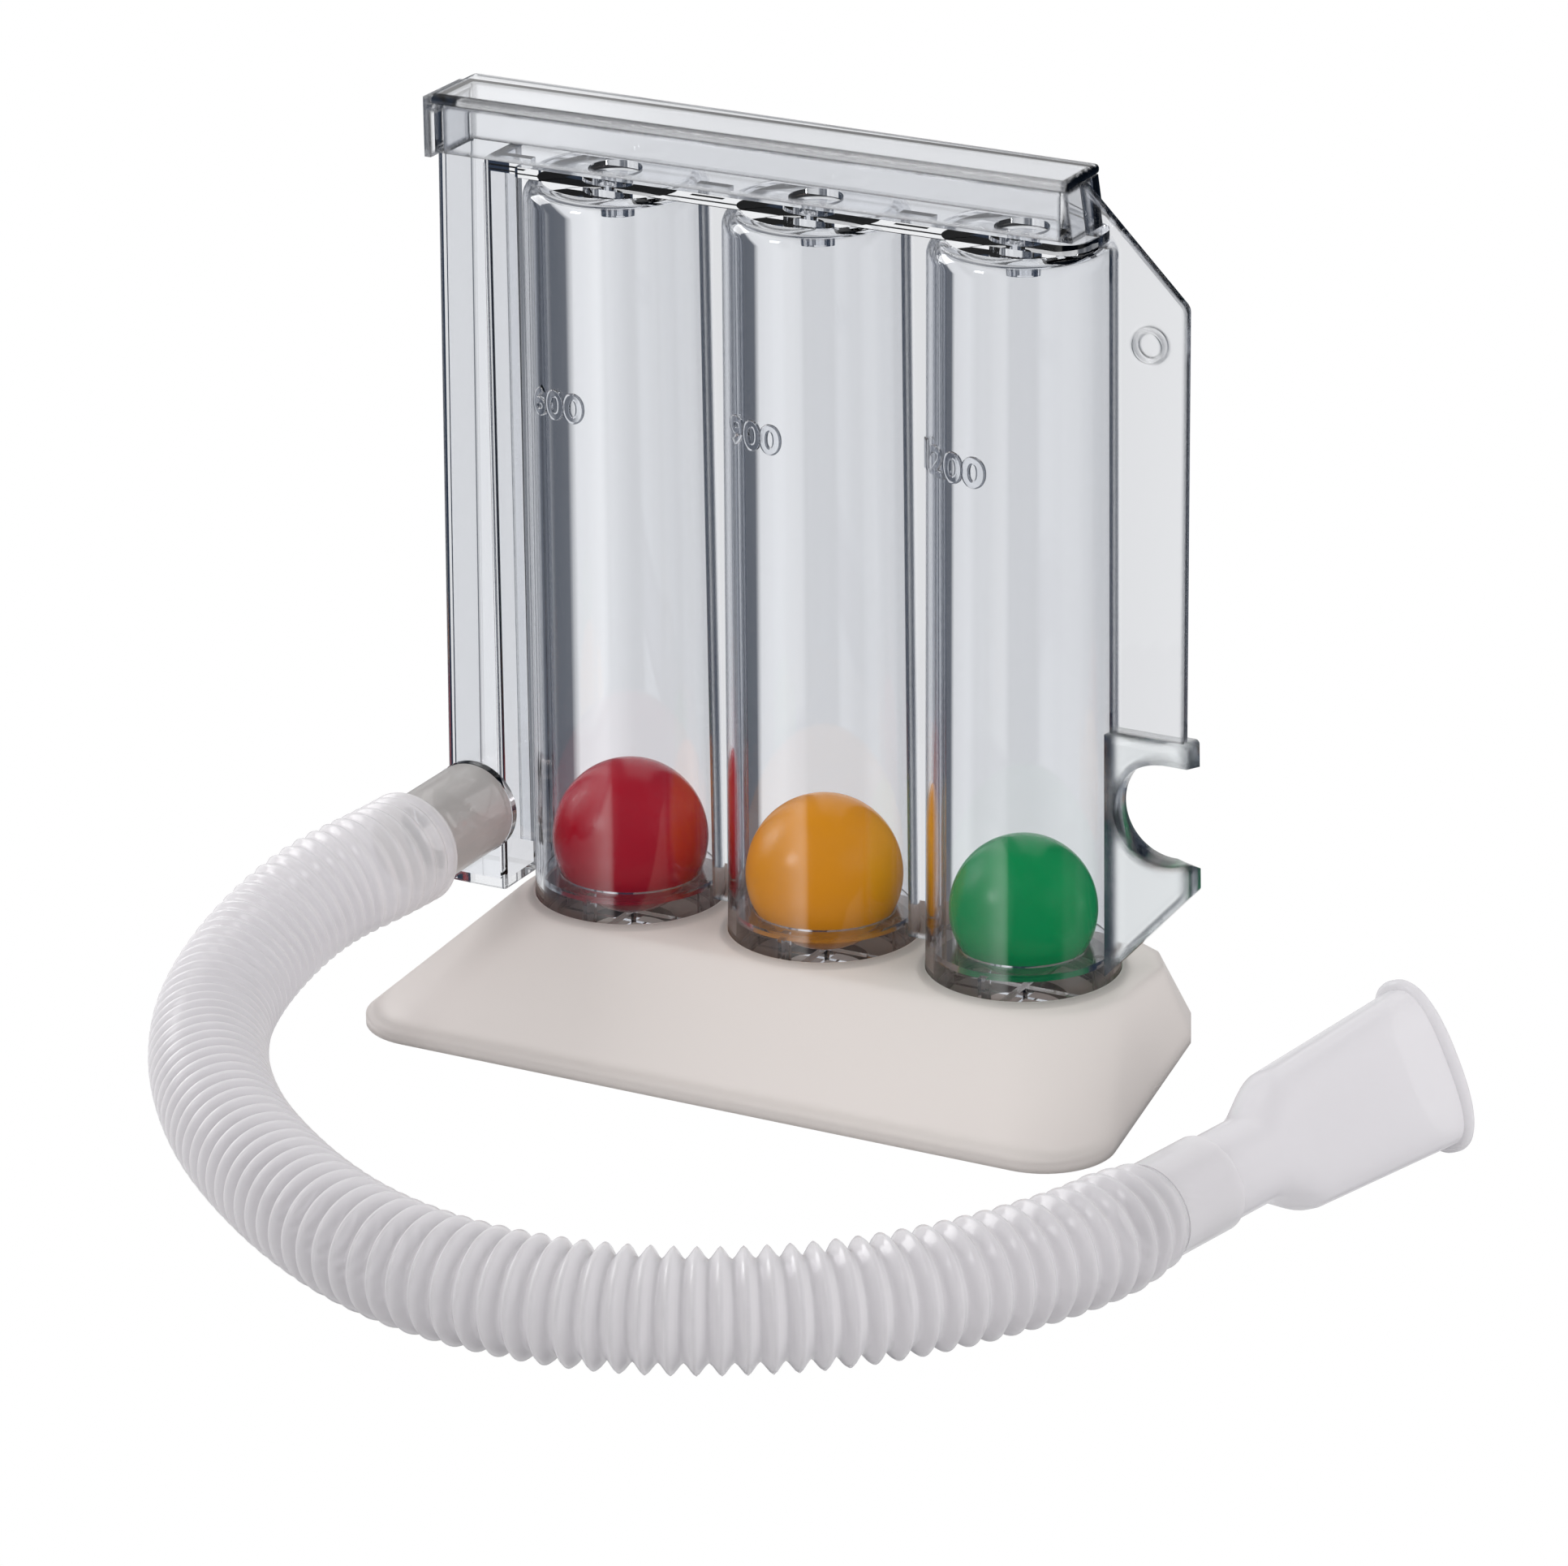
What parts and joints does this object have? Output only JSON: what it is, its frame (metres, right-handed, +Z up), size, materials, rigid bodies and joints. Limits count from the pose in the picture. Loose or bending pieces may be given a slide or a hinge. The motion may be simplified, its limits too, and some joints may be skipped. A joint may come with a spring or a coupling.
{
  "type": "incentive spirometer",
  "caption": "Breathing exerciser with clear upright chambers that hold indicator balls, a white foot, an intake duct, a corrugated hose and a mouthpiece.",
  "frame": {"origin": "at table level, in the middle of the object's box without its hose and mouthpiece", "axes": "+Z up, along the chambers; +X from the intake duct towards the mouthpiece clip; the patient's side, where the hose port opens, is at -Y"},
  "size_m": [0.2096, 0.1815, 0.1543],
  "materials": {
    "clear_plastic": "clear polished polystyrene",
    "base_plastic": "satin white moulding",
    "ball_red": "glossy",
    "ball_yellow": "glossy",
    "ball_green": "glossy",
    "hose_plastic": "milky translucent polyethylene",
    "mouthpiece_plastic": "milky translucent polyethylene"
  },
  "bodies": {
    "stand": {"base_plate": "base_plastic", "chamber_600": "clear_plastic", "chamber_900": "clear_plastic", "chamber_1200": "clear_plastic", "ball_seat_600": "clear_plastic", "ball_seat_900": "clear_plastic", "ball_seat_1200": "clear_plastic", "intake_column": "clear_plastic", "intake_port": "clear_plastic", "intake_web": "clear_plastic", "web_left": "clear_plastic", "web_right": "clear_plastic", "manifold_floor": "clear_plastic", "manifold_walls": "clear_plastic", "manifold_lid": "clear_plastic", "holder_wing": "clear_plastic", "mouthpiece_clip": "clear_plastic", "hose_tube": "hose_plastic", "inlet_cuff": "hose_plastic", "outlet_cuff": "hose_plastic"},
    "red_ball": {"ball_red": "ball_red"},
    "yellow_ball": {"ball_yellow": "ball_yellow"},
    "green_ball": {"ball_green": "ball_green"},
    "mouth_end": {"mouthpiece": "mouthpiece_plastic"}
  },
  "joints": [
    {"name": "red_ball_rise", "type": "slide", "parent": "stand", "child": "red_ball", "axis": [0, 0, 1], "range_m": [0, 0.0982]},
    {"name": "yellow_ball_rise", "type": "slide", "parent": "stand", "child": "yellow_ball", "axis": [0, 0, 1], "range_m": [0, 0.0982]},
    {"name": "green_ball_rise", "type": "slide", "parent": "stand", "child": "green_ball", "axis": [0, 0, 1], "range_m": [0, 0.0989]},
    {"name": "mouthpiece_pull", "type": "slide", "parent": "stand", "child": "mouth_end", "axis": [0.2621, 0.9638, 0.05], "range_m": [0, 0.0115]}
  ]
}
